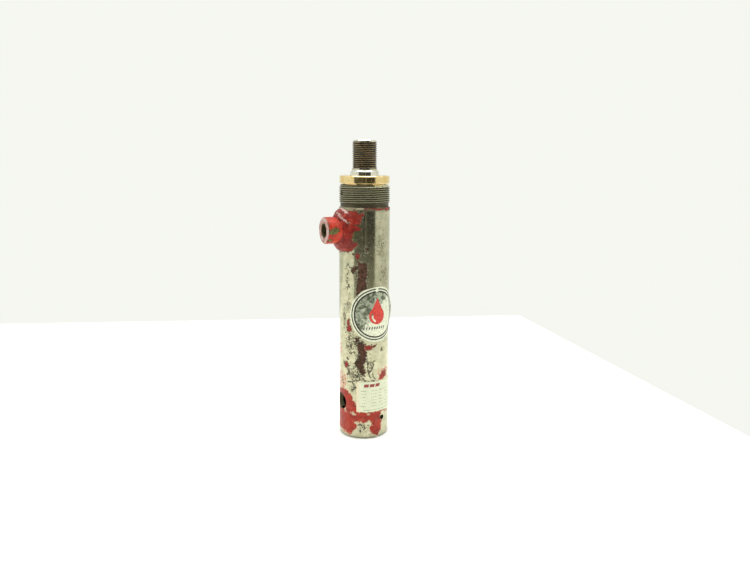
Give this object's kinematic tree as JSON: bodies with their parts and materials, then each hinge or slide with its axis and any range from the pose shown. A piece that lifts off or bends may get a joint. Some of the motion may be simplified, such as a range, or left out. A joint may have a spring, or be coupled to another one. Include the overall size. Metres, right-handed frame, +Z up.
{
  "type": "hydraulic cylinder",
  "caption": "Small double-acting hydraulic cylinder with threaded mounting collar, male-threaded rod end, brass gland and side oil ports, worn red paint on plated steel.",
  "frame": {"origin": "centre of the flat base face", "axes": "+Z up along the cylinder's axis, the way the rod extends; both oil ports face -X"},
  "size_m": [0.0691, 0.0506, 0.2958],
  "materials": {
    "plated_steel": "dull nickel plate with rust pits and remnants of red paint",
    "machined_steel": "turned",
    "dark_steel": "oily black",
    "rod_chrome": "ground hard chrome, with an oily dark thread",
    "red_paint": "chipped and worn gloss",
    "gland_brass": "turned",
    "bronze": "turned bearing bronze",
    "seal_rubber": "matte",
    "polyurethane": "satin",
    "ptfe": "waxy",
    "foil": null,
    "label_paper": "printed with a plain bar and a table of lines, no lettering"
  },
  "bodies": {
    "barrel": {"cylinder_tube": "plated_steel", "base_plug": "machined_steel", "base_o_ring": "seal_rubber", "base_backup_ring": "ptfe", "base_lock_screw": "dark_steel", "port_boss": "red_paint", "boss_weld": "red_paint", "guide_bush": "bronze", "guide_o_ring": "seal_rubber", "guide_backup_ring": "ptfe", "rod_seal": "polyurethane", "rod_seal_backup": "ptfe", "gland_nut": "gland_brass", "rod_wiper": "seal_rubber", "gland_lock_screw": "dark_steel", "round_decal": "foil", "rating_label": "label_paper"},
    "piston_seals": {"piston_seal": "polyurethane", "piston_backup_lower": "ptfe", "piston_backup_upper": "ptfe", "wear_ring_lower": "bronze", "wear_ring_upper": "bronze"},
    "rod": {"piston_rod": "rod_chrome", "piston": "machined_steel", "piston_o_ring": "seal_rubber", "piston_nut": "dark_steel"}
  },
  "joints": [
    {"name": "rod_stroke", "type": "slide", "parent": "barrel", "child": "piston_seals", "axis": [0, 0, 1], "range_m": [0, 0.125]},
    {"name": "rod_turn", "type": "hinge", "parent": "piston_seals", "child": "rod", "pos_m": [0, 0, 0.09], "axis": [0, 0, 1], "continuous": true}
  ]
}
